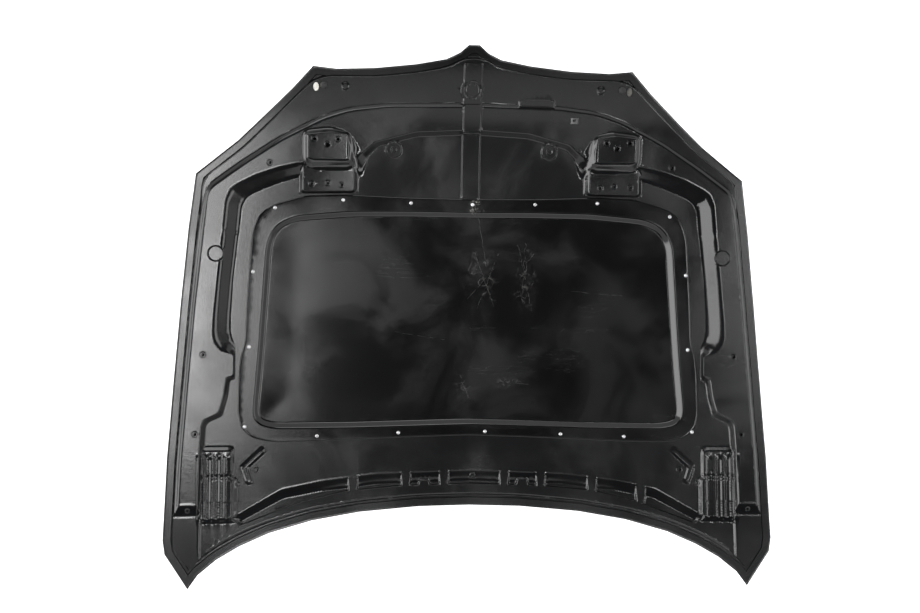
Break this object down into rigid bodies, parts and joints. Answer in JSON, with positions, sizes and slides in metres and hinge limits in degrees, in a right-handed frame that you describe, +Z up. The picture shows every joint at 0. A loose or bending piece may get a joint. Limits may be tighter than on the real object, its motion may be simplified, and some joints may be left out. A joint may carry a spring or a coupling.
{
  "type": "car bonnet",
  "caption": "Black glass-fibre car bonnet seen from its underside, with a bonded relief inner panel and a dished centre tray riveted over its cut-out",
  "frame": {"origin": "middle of the bonnet's box, on the ground that it lies on", "axes": "+X across the car, to the right in the picture; +Y towards the nose; +Z up, from the outer face towards the underside, which faces up as the bonnet lies on its back"},
  "size_m": [1.45, 1.288, 0.1111],
  "materials": {
    "skin": "satin black gelcoat",
    "panel": "satin black gelcoat, dusty and scuffed",
    "tray": "semi-gloss black, scratched",
    "rivet": "bright, lightly dulled",
    "plate": "plain",
    "buffer": "matt",
    "paste": "cured filler, off-white",
    "clip": "zinc plated"
  },
  "bodies": {
    "root": {"outer_skin": "skin", "inner_panel": "panel", "centre_tray": "tray", "tray_rivet_01": "rivet", "tray_rivet_02": "rivet", "tray_rivet_03": "rivet", "tray_rivet_04": "rivet", "tray_rivet_05": "rivet", "tray_rivet_06": "rivet", "tray_rivet_07": "rivet", "tray_rivet_08": "rivet", "tray_rivet_09": "rivet", "tray_rivet_10": "rivet", "tray_rivet_11": "rivet", "tray_rivet_12": "rivet", "tray_rivet_13": "rivet", "tray_rivet_14": "rivet", "tray_rivet_15": "rivet", "tray_rivet_16": "rivet", "tray_rivet_17": "rivet", "tray_rivet_18": "rivet", "latch_plate_upper_right": "plate", "latch_plate_lower_right": "plate", "hinge_plate_right": "plate", "bump_buffer_right": "buffer", "bonding_paste_right": "paste", "latch_plate_upper_left": "plate", "latch_plate_lower_left": "plate", "hinge_plate_left": "plate", "bump_buffer_left": "buffer", "bonding_paste_left": "paste", "panel_clip": "clip"}
  },
  "joints": []
}
